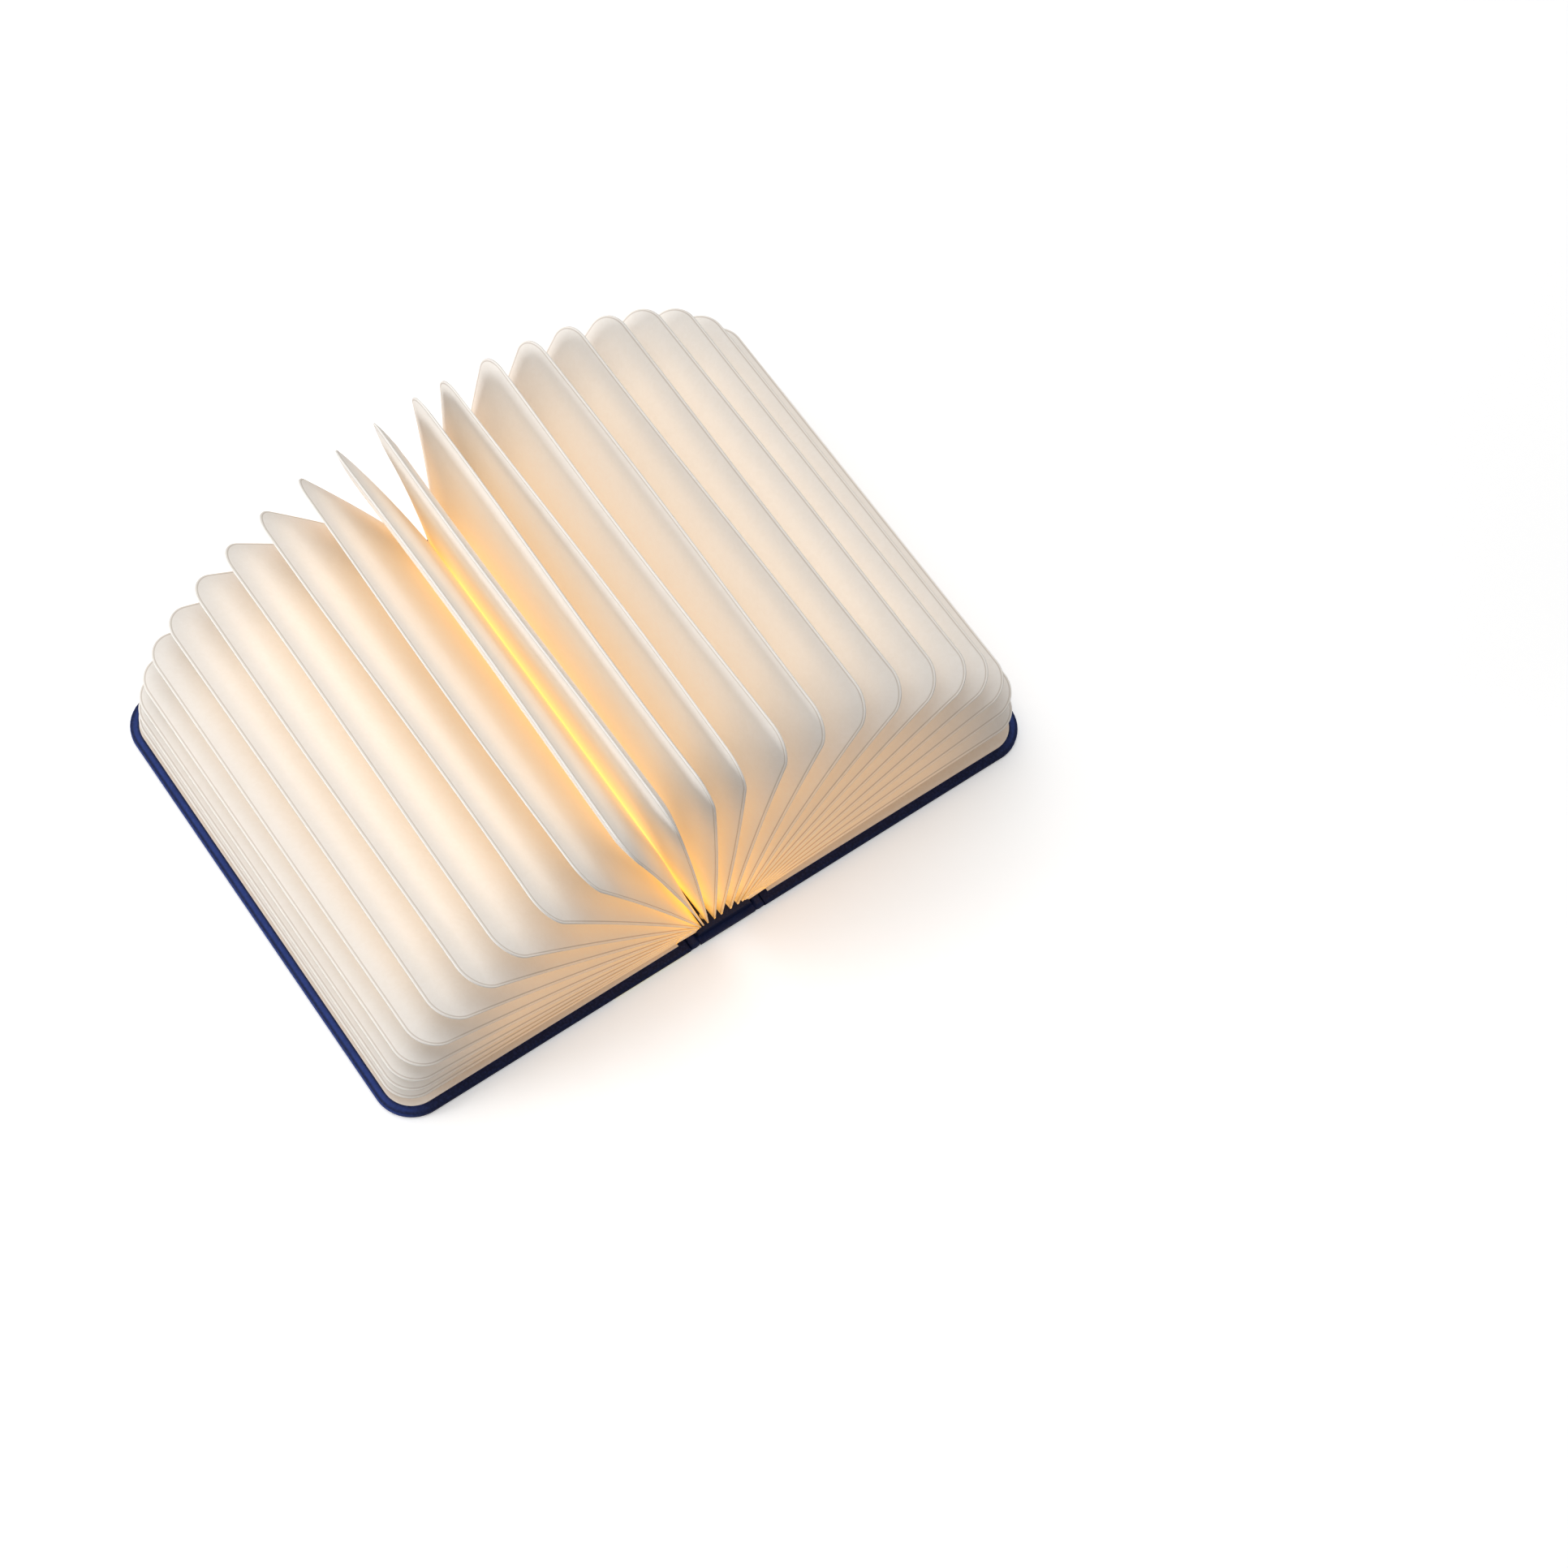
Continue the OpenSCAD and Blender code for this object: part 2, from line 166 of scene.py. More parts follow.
class BookLampPages(bpy.types.PropertyGroup):
    """Shape and paper of the pages."""

    paper: FloatVectorProperty(
        name="Paper", description="Colour of the page paper", subtype="COLOR",
        size=3, min=0, max=1, default=(0.83, 0.80, 0.762),
    )
    corner: FloatProperty(
        name="Corner radius", description="Radius of a page's outer corners", subtype="DISTANCE",
        unit="LENGTH", default=10 * MM, min=1 * MM, max=20 * MM,
    )
    seam: FloatProperty(
        name="Seam width", description="Width of the welded seam along a page's edge",
        subtype="DISTANCE", unit="LENGTH", default=0.6 * MM, min=0.3 * MM, max=4 * MM,
    )
    edge_half: FloatProperty(
        name="Half edge", description="Half the thickness of the welded seam", subtype="DISTANCE",
        unit="LENGTH", default=0.24 * MM, min=0.05 * MM, max=0.3 * MM,
    )
    swell_half: FloatProperty(
        name="Half swell", description="Most that a page's sheet bulges from its middle plane",
        subtype="DISTANCE", unit="LENGTH", default=2.5 * MM, min=0.3 * MM, max=2.6 * MM,
    )
    swell_width: FloatProperty(
        name="Swell width", description="Distance from the fore-edge seam over which a page swells",
        subtype="DISTANCE", unit="LENGTH", default=21 * MM, min=2 * MM, max=60 * MM,
    )
    root_width: FloatProperty(
        name="Root width", description="Distance from its end over which a page swells at the block",
        subtype="DISTANCE", unit="LENGTH", default=18 * MM, min=1 * MM, max=30 * MM,
    )
    fill: FloatProperty(
        name="Fill", description="Share of the room between two pages that their sheets may take",
        subtype="FACTOR", default=0.9, min=0.3, max=0.95,
    )
    bow: FloatProperty(
        name="Bow", description="How far a page's middle bows towards upright", subtype="DISTANCE",
        unit="LENGTH", default=1.0 * MM, min=0, max=4 * MM,
    )
    wave: FloatProperty(
        name="Wave", description="Height of the slow wave along a page's fore-edge",
        subtype="DISTANCE", unit="LENGTH", default=0.6 * MM, min=0, max=2 * MM,
    )
    flat_keep: FloatProperty(
        name="Closed share", description="Share of its swell that a page keeps when folded away",
        subtype="FACTOR", default=0.1, min=0.02, max=1,
    )


class BookLampGlow(bpy.types.PropertyGroup):
    """Light that shines through the paper."""

    far: FloatVectorProperty(
        name="Outer glow", description="Glow of the paper far from the lamp block",
        subtype="COLOR", size=3, min=0, max=1, default=(0.150, 0.116, 0.080),
    )
    near: FloatVectorProperty(
        name="Inner glow", description="Glow of the paper close to the lamp block",
        subtype="COLOR", size=3, min=0, max=1, default=(1.0, 0.47, 0.06),
    )
    end: FloatVectorProperty(
        name="End glow", description="Glow added at the pages' ends, where little other light falls",
        subtype="COLOR", size=3, min=0, max=1, default=(0.185, 0.088, 0.014),
    )
    reach: FloatProperty(
        name="Reach", description="Distance over which the glow fades", subtype="DISTANCE",
        unit="LENGTH", default=26 * MM, min=2 * MM, max=200 * MM,
    )
    strength: FloatProperty(
        name="Strength", description="Brightness of the glowing paper", default=1.0, min=0, max=5,
    )
    window: FloatProperty(
        name="Window strength", description="Brightness of the diffuser", default=2.5, min=0, max=20,
    )


class BookLampStage(bpy.types.PropertyGroup):
    """Floor, light and camera."""

    floor: FloatVectorProperty(
        name="Floor", description="Colour of the floor", subtype="COLOR",
        size=3, min=0, max=1, default=(0.48, 0.48, 0.48),
    )
    white: FloatProperty(
        name="White", description="Light that the camera sees added over the lit floor",
        default=0.30, min=0, max=2,
    )
    sky: FloatProperty(
        name="Sky level", description="Even light from all round", default=0.46, min=0, max=2,
    )
    key: FloatProperty(
        name="Key light", description="Power of the large soft light", unit="POWER",
        default=6.7, min=0, max=100,
    )
    side: FloatProperty(
        name="Side light", description="Power of the light on the front cover's edge", unit="POWER",
        default=5.0, min=0, max=100,
    )
    lens: FloatProperty(
        name="Lens", description="Focal length on a 36 mm sensor", default=71.26, min=20, max=200,
    )
    azimuth: FloatProperty(
        name="Azimuth", description="Compass angle of the camera about the lamp",
        subtype="ANGLE", unit="ROTATION", default=math.radians(-46.605),
    )
    elevation: FloatProperty(
        name="Elevation", description="Height angle of the camera", subtype="ANGLE",
        unit="ROTATION", default=math.radians(64.601),
    )
    roll: FloatProperty(
        name="Roll", description="Turn of the camera about its view", subtype="ANGLE",
        unit="ROTATION", default=math.radians(12.359),
    )
    distance: FloatProperty(
        name="Distance", description="Distance from the aimed point", subtype="DISTANCE",
        unit="LENGTH", default=1.005, min=0.2, max=5,
    )
    aim: FloatVectorProperty(
        name="Aim", description="Point on the table that the camera looks at",
        subtype="TRANSLATION", unit="LENGTH", size=3, default=(0.04429, -0.05242, 0.0),
    )


# ---------------------------------------------------------------- shader maths


class Wire:
    """One output of a node. Python's operators on it add Math nodes."""

    def __init__(self, finish, socket):
        self.finish = finish
        self.socket = socket

    def __add__(self, other):
        return self.finish.maths("ADD", self, other)

    def __sub__(self, other):
        return self.finish.maths("SUBTRACT", self, other)

    def __rsub__(self, other):
        return self.finish.maths("SUBTRACT", other, self)

    def __mul__(self, other):
        return self.finish.maths("MULTIPLY", self, other)

    def __pow__(self, other):
        return self.finish.maths("POWER", self, other)

    __radd__ = __add__
    __rmul__ = __mul__

    def least(self, other):
        """The smaller of the two."""
        return self.finish.maths("MINIMUM", self, other)

    def most(self, other):
        """The larger of the two."""
        return self.finish.maths("MAXIMUM", self, other)

    def sine(self):
        """The sine of the value in radians."""
        return self.finish.maths("SINE", self, 0.0)

    def size(self):
        """The value without its sign."""
        return self.finish.maths("ABSOLUTE", self, 0.0)

    def rise(self, start, end):
        """0 before start, 1 after end and a smooth step between them."""
        settings = {"interpolation_type": "SMOOTHSTEP"}
        sockets = {0: self, 1: start, 2: end, 3: 0.0, 4: 1.0}
        return self.finish.node("ShaderNodeMapRange", settings, sockets)


class Finish:
    """A material or a world in the making. Every node comes from node()."""

    def __init__(self, owner):
        self.owner = owner
        owner.use_nodes = True
        self.tree = owner.node_tree
        self.tree.nodes.clear()

    @classmethod
    def material(cls, name):
        """Starts a new material."""
        return cls(bpy.data.materials.new(name))

    def node(self, kind, settings=None, sockets=None, output=0):
        """Adds a node: first its settings, then the values and links of its sockets."""
        node = self.tree.nodes.new(kind)
        for key, value in (settings or {}).items():
            setattr(node, key, value)
        for key, value in (sockets or {}).items():
            socket = node.inputs[key]
            if isinstance(value, Wire):
                self.tree.links.new(value.socket, socket)
            elif hasattr(value, "__len__") and socket.type == "RGBA":
                socket.default_value = (*tuple(value)[:3], 1.0)
            else:
                socket.default_value = value
        return Wire(self, node.outputs[output]) if node.outputs else None

    def maths(self, operation, a, b):
        """One Math node on two numbers or outputs."""
        return self.node("ShaderNodeMath", {"operation": operation}, {0: a, 1: b})

    def mix(self, share, a, b):
        """Colour a where share is 0 and colour b where it is 1."""
        return self.node("ShaderNodeMix", {"data_type": "RGBA"}, {0: share, 6: a, 7: b}, output=2)

    def scale_colour(self, colour, share):
        """The colour times a number that varies."""
        return self.mix(share, (0.0, 0.0, 0.0), colour)

    def add_colours(self, a, b):
        """Sum of two colours, channel by channel."""
        return self.node("ShaderNodeVectorMath", {"operation": "ADD"}, {0: a, 1: b})

    def place(self):
        """Place on the object, in metres."""
        return self.node("ShaderNodeTexCoord", output="Object")

    def along(self, vector, axis):
        """One number of a vector: 0 for X, 1 for Y, 2 for Z."""
        return self.node("ShaderNodeSeparateXYZ", None, {0: vector}, output=axis)

    def attribute(self, name):
        """Number that a mesh holds for each of its corners."""
        return self.node("ShaderNodeAttribute", {"attribute_name": name}, output="Fac")

    def noise(self, vector, size, detail=2.0, distortion=0.0):
        """Soft noise between 0 and 1 whose lumps are about as wide as size."""
        sockets = {"Vector": vector, "Scale": 1.0 / size, "Detail": detail, "Distortion": distortion}
        return self.node("ShaderNodeTexNoise", None, sockets)

    def cells(self, vector, size):
        """Softened distance from the nearest of many scattered points, about size apart."""
        sockets = {"Vector": vector, "Scale": 1.0 / size}
        return self.node("ShaderNodeTexVoronoi", {"feature": "SMOOTH_F1"}, sockets, output="Distance")

    def bump(self, height, depth, strength):
        """Normal of a surface that rises by depth where height grows by 1."""
        sockets = {"Height": height, "Distance": depth, "Strength": strength}
        return self.node("ShaderNodeBump", None, sockets)

    def close(self, colour, roughness, normal, **more):
        """Ends the material in a Principled shader. Names in more use _ for a space."""
        sockets = {"Base Color": colour, "Roughness": roughness, "Normal": normal}
        sockets.update({key.replace("_", " "): value for key, value in more.items()})
        return self.end(self.node("ShaderNodeBsdfPrincipled", None, sockets))

    def end(self, shader, output="ShaderNodeOutputMaterial"):
        """Leads a shader to the output node and returns the finished material or world."""
        self.node(output, None, {"Surface": shader})
        return self.owner


# ---------------------------------------------------------------- finishes


def leatherette(look):
    """Fine pebbled leatherette: rounded pebbles with lighter peaks and thin, darker creases. The rims named by the
    rim attribute get a painted highlight in a lighter blue.
    """
    f = Finish.material("navy leatherette")
    at = f.place()
    wander = f.noise(at, 6 * MM, 3.0)
    pebble = f.cells(at, look.grain).rise(0.05, 0.75)
    fine = f.noise(at, look.grain * 0.35, 2.0)
    height = (1.0 - pebble) * (0.6 + 0.4 * wander) + fine * 0.25
    colour = f.mix(height.rise(0.25, 1.05), look.leather, look.leather_light)
    # painted highlight: lighter blue along the rounded rims, where the rim attribute is high
    colour = f.mix(f.attribute("rim") * (0.45 + 0.4 * wander), colour, look.rim_highlight)
    rough = 0.5 + 0.14 * pebble + 0.08 * wander
    return f.close(colour, rough, f.bump(height, 0.11 * MM, 0.9), Specular_IOR_Level=0.22)


def leather_edge(look):
    """The same leatherette drawn tight over an edge, with a smoother grain."""
    f = Finish.material("navy leatherette, stretched")
    at = f.place()
    height = f.noise(at, look.grain * 0.8, 3.0) + f.noise(at, 4 * MM, 2.0) * 0.5
    colour = f.mix(height.rise(0.4, 1.1), look.leather, look.leather_light)
    rough = 0.46 + 0.1 * height
    return f.close(colour, rough, f.bump(height, 0.07 * MM, 0.8), Specular_IOR_Level=0.22)


def book_cloth(look):
    """Plain weave: warp and weft threads that pass over each other in turn, with slubs."""
    f = Finish.material("yellow book cloth")
    at = f.place()
    turn = 2 * math.pi / look.thread
    drift = f.noise(at, 8 * MM, 2.0) * 1.6
    warp = (f.along(at, 0) * turn + drift).sine()
    weft = (f.along(at, 1) * turn + drift).sine()
    over = (warp * weft * 0.5 + 0.5).most(0.0)
    slub = f.noise(at, 0.9 * MM, 3.0)
    height = over * 0.7 + slub * 0.5
    dark = tuple(0.8 * c for c in look.cloth)
    colour = f.mix(height.rise(0.15, 0.8), dark, look.cloth)
    rough = 0.78 + 0.1 * slub
    return f.close(colour, rough, f.bump(height, 0.09 * MM, 0.8), Specular_IOR_Level=0.25)


def outline_distance(f, leaf, corner):
    """Distance inwards from a page's outline, as for a box with round corners, from its UV."""
    qx = corner - f.along(leaf, 0)
    qy = f.along(leaf, 1).size() - (PAGE_HALF - corner)
    away = (qx.most(0.0) ** 2 + qy.most(0.0) ** 2) ** 0.5
    return corner - away - qx.most(qy).least(0.0)


def page_paper(pages, glow):
    """Spun translucent paper.

    UV "leaf" holds the distance from the fore-edge and the place along the spine. The seam runs round
    the three outer sides and is drawn as a thin darker line, partly the seam's own tone and partly painted
    shade. Attribute "lit" says how much of the block's light comes through. The paper is
    brightest away from the seam and from the page's two ends, which have a deeper glow of their own."""
    line_soft, edge_shade = 0.3 * MM, 9 * MM
    end_shade, end_fade, end_clear = 34 * MM, 18 * MM, 45 * MM
    # colour of the seam line: the seam's own darker tone and painted shade at the page's edge
    seam_shade_colour = (0.40, 0.32, 0.25)
    thin_spots = (0.965, 0.955, 0.94)
    f = Finish.material("page paper")
    at = f.place()
    leaf = f.node("ShaderNodeUVMap", {"uv_map": "leaf"})
    edge = outline_distance(f, leaf, pages.corner)
    line = 1.0 - (edge - pages.seam).size().rise(0.05 * MM, line_soft)
    behind = edge.rise(0.0, edge_shade)
    from_end = PAGE_HALF - f.along(leaf, 1).size()
    inside = 0.3 + 0.7 * from_end.rise(0.0, end_shade)
    end = (1.0 - from_end.rise(2 * MM, end_fade)) * f.along(leaf, 0).rise(2 * MM, end_clear)
    fibre = f.noise(at, 2.2 * MM, 4.0, 1.4)
    cloud = f.noise(at, 22 * MM, 2.0)
    tint = tuple(c * s for c, s in zip(pages.paper, thin_spots))
    colour = f.mix(fibre.rise(0.3, 0.7) * 0.6 + cloud * 0.4, tint, pages.paper)
    # thin darker line at the seam, partly its own tone and partly painted shade
    colour = f.mix(line * 0.5, colour, seam_shade_colour)
    height = fibre * 0.6 + f.noise(at, 35 * MM, 1.0) * 1.5
    lit = f.attribute("lit")
    warm = f.mix(lit, glow.far, glow.near)
    through = behind + (1.0 - behind) * lit**0.45
    shine = through * inside * (0.9 + 0.2 * cloud) * (1.0 - 0.5 * line)
    end_shine = end * (0.8 + 0.4 * cloud) * (1.0 - 0.6 * line)
    light = f.add_colours(f.scale_colour(warm, shine), f.scale_colour(glow.end, end_shine))
    return f.close(
        colour, 0.68, f.bump(height, 0.035 * MM, 0.6),
        Specular_IOR_Level=0.3, Emission_Color=light, Emission_Strength=glow.strength,
    )


def end_paper(pages, glow):
    """Smooth paper in the pages' shade, with some of the glow that falls through the lowest page."""
    f = Finish.material("end paper")
    at = f.place()
    fibre = f.noise(at, 1.4 * MM, 4.0, 0.8)
    tint = tuple(c * s for c, s in zip(pages.paper, (0.95, 0.89, 0.82)))
    light = f.scale_colour(glow.end, 0.25 + 0.1 * fibre)
    return f.close(
        f.mix(fibre, tint, pages.paper), 0.75, f.bump(fibre, 0.03 * MM, 0.6),
        Emission_Color=light, Emission_Strength=glow.strength,
    )


def grey_board():
    """Pressed grey board with flecks of pulp."""
    f = Finish.material("grey board")
    at = f.place()
    fleck = f.noise(at, 0.8 * MM, 5.0)
    colour = f.mix(fleck.rise(0.35, 0.7), (0.20, 0.185, 0.165), (0.36, 0.335, 0.30))
    return f.close(colour, 0.9, f.bump(fleck, 0.08 * MM, 0.7))


def moulded(name, colour, roughness, grain):
    """Moulded plastic with a fine spark-eroded texture."""
    f = Finish.material(name)
    at = f.place()
    texture = f.noise(at, grain, 3.0)
    light = tuple(min(1.0, c * 1.25 + 0.004) for c in colour)
    shade = f.mix(texture.rise(0.3, 0.7), colour, light)
    rough = roughness + 0.12 * texture
    return f.close(shade, rough, f.bump(texture, 0.03 * MM, 0.6), Specular_IOR_Level=0.25)


def metal(name, colour, roughness):
    """Drawn metal with fine scratches along the spine."""
    f = Finish.material(name)
    at = f.node("ShaderNodeMapping", None, {"Vector": f.place(), "Scale": (1.0, 0.08, 1.0)})
    scratch = f.noise(at, 0.12 * MM, 4.0)
    rough = roughness + 0.2 * scratch
    return f.close(colour, rough, f.bump(scratch, 0.01 * MM, 0.5), Metallic=1.0)


def circuit(name, mask, copper, pad):
    """Solder mask over copper tracks that run along the board, with rows of tinned pads."""
    track_pitch, pad_pitch = 0.9 * MM, 6.0 * MM
    f = Finish.material(name)
    at = f.place()
    track = (f.along(at, 0) * (2 * math.pi / track_pitch)).sine().rise(0.1, 0.4)
    cross = (f.along(at, 1) * (2 * math.pi / pad_pitch)).sine().rise(0.9, 0.97)
    colour = f.mix(track * 0.5, mask, copper)
    colour = f.mix(cross * track, colour, pad)
    return f.close(colour, 0.35 + 0.2 * track, f.bump(track, 0.02 * MM, 0.6))


def glowing(name, colour, strength, pitch):
    """Frosted plastic lit from below, a little brighter over each light source."""
    f = Finish.material(name)
    at = f.place()
    pulse = (f.along(at, 1) * (2 * math.pi / pitch)).sine() * 0.12 + 0.88
    grain = f.noise(at, 0.4 * MM, 3.0)
    base = f.mix(grain, (0.80, 0.72, 0.58), (0.86, 0.79, 0.66))
    return f.close(
        base, 0.55, f.bump(grain, 0.02 * MM, 0.5),
        Emission_Color=f.scale_colour(colour, pulse), Emission_Strength=strength,
    )


# ---------------------------------------------------------------- surfaces


def mesh_piece(name, corners, faces, material, uv=None, attributes=None):
    """Object from arrays of corners and quads, smooth, turned outwards if its volume is negative."""
    corners = np.asarray(corners, float).reshape(-1, 3)
    faces = np.asarray(faces, int)
    a, b, c, d = (corners[faces[:, k]] for k in range(4))
    volume = sum((a * np.cross(*pair)).sum() for pair in ((b, c), (c, d)))
    if volume < 0:
        faces = faces[:, ::-1]
    mesh = bpy.data.meshes.new(name)
    mesh.from_pydata(corners, [], faces)
    mesh.polygons.foreach_set("use_smooth", np.ones(len(mesh.polygons), bool))
    if uv is not None:
        layer = mesh.uv_layers.new(name="leaf")
        index = np.zeros(len(mesh.loops), int)
        mesh.loops.foreach_get("vertex_index", index)
        layer.data.foreach_set("uv", np.asarray(uv, float)[index].ravel())
    for key, values in (attributes or {}).items():
        attribute = mesh.attributes.new(key, "FLOAT", "POINT")
        attribute.data.foreach_set("value", np.asarray(values, float).ravel())
    mesh.materials.append(material)
    mesh.validate()
    piece = bpy.data.objects.new(name, mesh)
    bpy.context.scene.collection.objects.link(piece)
    return piece


def shell_faces(rows, columns):
    """Quads of a closed shell: an upper grid, a lower grid turned over, and a strip round both."""
    index = np.arange(rows * columns).reshape(rows, columns)
    quads = np.stack([index[:-1, :-1], index[:-1, 1:], index[1:, 1:], index[1:, :-1]], -1)
    quads = quads.reshape(-1, 4)
    under = quads[:, ::-1] + rows * columns
    loop = np.concatenate([index[0, :], index[1:, -1], index[-1, -2::-1], index[-2:0:-1, 0]])
    after = np.roll(loop, -1)
    strip = np.stack([after, loop, loop + rows * columns, after + rows * columns], -1)
    return np.concatenate([quads, under, strip])


def leaf_grid(x1, length, corner, columns, hold):
    """Grid over a leaf that has two round corners at x1.

    Every row lies at one y. Rows in a corner lie at y = end - corner + corner * sin(angle), where the
    leaf reaches x1 - corner + corner * cos(angle), so the last column follows the outline. Columns before
    hold keep their x, and those after it are drawn in to fit."""
    bend_steps, row_pitch = 12, 5 * MM
    bend = np.linspace(0.0, math.pi / 2, bend_steps + 1)[1:]
    straight = length / 2 - corner
    rows = np.linspace(-1, 1, max(5, int(length / row_pitch))) * straight
    turn_y = straight + corner * np.sin(bend)
    turn_x = x1 - corner + corner * np.cos(bend)
    y = np.concatenate([-turn_y[::-1], rows, turn_y])
    reach = np.concatenate([turn_x[::-1], np.full(len(rows), x1), turn_x])
    columns = np.asarray(columns, float)
    share = (reach[:, None] - hold) / (x1 - hold)
    x = np.where(columns[None, :] <= hold, columns[None, :], hold + (columns[None, :] - hold) * share)
    return x, np.repeat(y[:, None], len(columns), 1)


def edge_distance(x, y, x1, length, corner):
    """Distance inwards from the outline's three outer sides, as for a box with round corners."""
    qx = x - (x1 - corner)
    qy = np.abs(y) - (length / 2 - corner)
    away = np.hypot(np.maximum(qx, 0), np.maximum(qy, 0))
    return corner - away - np.minimum(np.maximum(qx, qy), 0)


def drop(edge, radius):
    """Drop of a face at this distance from its rounded edge, a quarter circle of that radius."""
    inside = np.clip(1 - edge / radius, 0, 1)
    return radius * (1 - np.sqrt(1 - inside**2))


def near_ends(start, end):
    """Places from start to end, close together at both ends."""
    near = np.array([0.0, 0.06, 0.2, 0.45, 0.8, 1.3, 2.2]) * MM
    step = 4 * MM
    inner = np.linspace(start + step, end - step, max(3, int((end - start) / step)))
    return np.unique(np.concatenate([start + near, inner, end - near]))


def to_front(points):
    """Mirrors points from the back cover's side to the front cover's."""
    return points * np.array([-1.0, 1.0, 1.0])


def slab(name, x, y, top, bottom, material, front, rim=None):
    """Closed shell between two heights over one grid, on the back side or mirrored to the front.

    rim says, for the upper and the lower side, how much painted highlight each corner takes along a rounded edge."""
    upper = np.stack([x, y, top], -1)
    lower = np.stack([x, y, bottom], -1)
    points = np.concatenate([upper.reshape(-1, 3), lower.reshape(-1, 3)])
    rim_highlight = {} if rim is None else {"rim": np.concatenate([part.ravel() for part in rim])}
    return mesh_piece(name, to_front(points) if front else points, shell_faces(*x.shape), material,
                      attributes=rim_highlight)


# ---------------------------------------------------------------- pages


def page_plane(name):
    """Pivot, directions, extent, middle plane and seat on the block of a CAD page.

    A page leans by its coupling's ratio times a right angle, towards the cover that it follows."""
    coupling = COUPLINGS[name + "_hinge"]
    side = -1.0 if coupling["follows"] == "front_cover_hinge" else 1.0
    lean = side * coupling["ratio"] * math.pi / 2
    pivot = np.array(JOINTS[name + "_hinge"]["pos_m"])
    up = np.array([math.sin(lean), 0.0, math.cos(lean)])
    normal = np.array([math.cos(lean), 0.0, -math.sin(lean)])
    points = np.array([v.co for v in frame["nodes"][name].data.vertices]) - pivot
    out = points @ up
    off = points @ normal
    seat = block_seat(lean) - pivot
    turn_per_page = 2.4
    return {
        "name": name, "lean": lean, "pivot": pivot, "up": up, "normal": normal,
        "root": float(out.min()), "tip": float(out.max()),
        "offset": float((off.min() + off.max()) / 2),
        "length": float(points[:, 1].max() - points[:, 1].min()),
        "seat": float(seat @ up), "aside": float(seat @ normal),
        "turn": turn_per_page * int(name[-2:]),
    }


def block_seat(lean):
    """Where a page's paper meets the block's rounded top, in X and Z.

    The place along the block's profile, from its middle, grows with the page's lean in the open lamp.
    So the middle pages stand wide apart and the low ones are stacked round the block's shoulder."""
    reach = BLOCK_HALF + 0.7 * MM
    early, steep = 0.78, math.radians(20)
    share = early * math.tanh(lean / steep) + (1 - early) * lean / (math.pi / 2)
    flat = BLOCK_HALF - SHOULDER
    place = reach * share
    angle = max(0.0, abs(place) - flat) / SHOULDER
    x = min(abs(place), flat) + SHOULDER * math.sin(angle)
    return np.array([math.copysign(x, place), 0.0, BLOCK_TOP - SHOULDER * (1 - math.cos(angle))])


def middle(plane, out, y, look):
    """Distance of a page's middle surface from its hinge, along the page's normal.

    It runs straight from its seat on the block to the fore-edge, where s goes from 0 to 1, plus a bow of
    4 * bow * s * (1 - s) towards upright and a slow wave along the spine."""
    s = np.clip((out - plane["seat"]) / (plane["tip"] - plane["seat"]), 0, 1)
    straight = plane["aside"] + (plane["offset"] - plane["aside"]) * s
    bow = -math.copysign(look.bow, plane["lean"]) * 4 * s * (1 - s)
    return straight + bow + wave(plane, s, y, look)


def wave(plane, s, y, look):
    """Slow wave along the spine at share s of the way to a page's fore-edge, flatter on a low page."""
    waves = 0.8
    height = look.wave * s**2 * np.sin(2 * math.pi * waves * y / plane["length"] + plane["turn"])
    return height * math.cos(plane["lean"])


def profile(plane, look):
    """Points in X and Z of a page's middle line, without its wave, from its seat to its tip."""
    s = np.linspace(0, 1, 160)
    out = plane["seat"] + (plane["tip"] - plane["seat"]) * s
    aside = middle(plane, out, 0.0, look) - wave(plane, s, 0.0, look)
    points = plane["pivot"] + out[:, None] * plane["up"] + aside[:, None] * plane["normal"]
    return out, points[:, [0, 2]]


def rooms(planes, look):
    """Half the distance to the neighbours on a page's two sides, along each page's middle line.

    The outermost pages take their room from the end sheets of the covers."""
    clear, least = 0.45 * MM, 0.1 * MM
    lines = [profile(plane, look) for plane in planes]
    result = []
    for index, (out, points) in enumerate(lines):
        sides = []
        for other in (index + 1, index - 1):
            if 0 <= other < len(lines):
                gap = np.linalg.norm(points[:, None] - lines[other][1][None], axis=2).min(1) / 2
            else:
                gap = np.maximum(points[:, 1] - SHEET_Z - clear, least)
            sides.append(gap)
        result.append((out, *sides))
    return result


def swell(edge, width, power):
    """Share of a page's bulge at this distance from its seam: 0 at the seam, 1 beyond the width."""
    return 1 - (1 - np.clip(edge / width, 0, 1)) ** power


def page_sheets(plane, room, out, y, edge, look):
    """Points of a page's two sheets. Each lies its half thickness off the middle surface.

    That half is the seam's at the edge and grows inwards to what the room allows, over a width that
    grows from the root's at the block to the fore-edge's further out, and more steeply there."""
    root_zone, root_power, outer_power = 30 * MM, 1.0, 2.4
    outwards = np.clip((out - plane["seat"]) / root_zone, 0, 1)
    width = look.root_width + (look.swell_width - look.root_width) * outwards
    share = swell(edge, width, root_power + (outer_power - root_power) * outwards)
    base = plane["pivot"] + out[..., None] * plane["up"] + y[..., None] * np.array([0.0, 1.0, 0.0])
    centre = middle(plane, out, y, look)
    sheets = []
    for sign, gap in ((1, room[1]), (-1, room[2])):
        most = np.minimum(look.swell_half, look.fill * np.interp(out, room[0], gap))
        thin = np.minimum(look.edge_half, most)
        half = thin + (most - thin) * share
        sheets.append(base + (centre + sign * half)[..., None] * plane["normal"])
    return np.concatenate([sheet.reshape(-1, 3) for sheet in sheets])


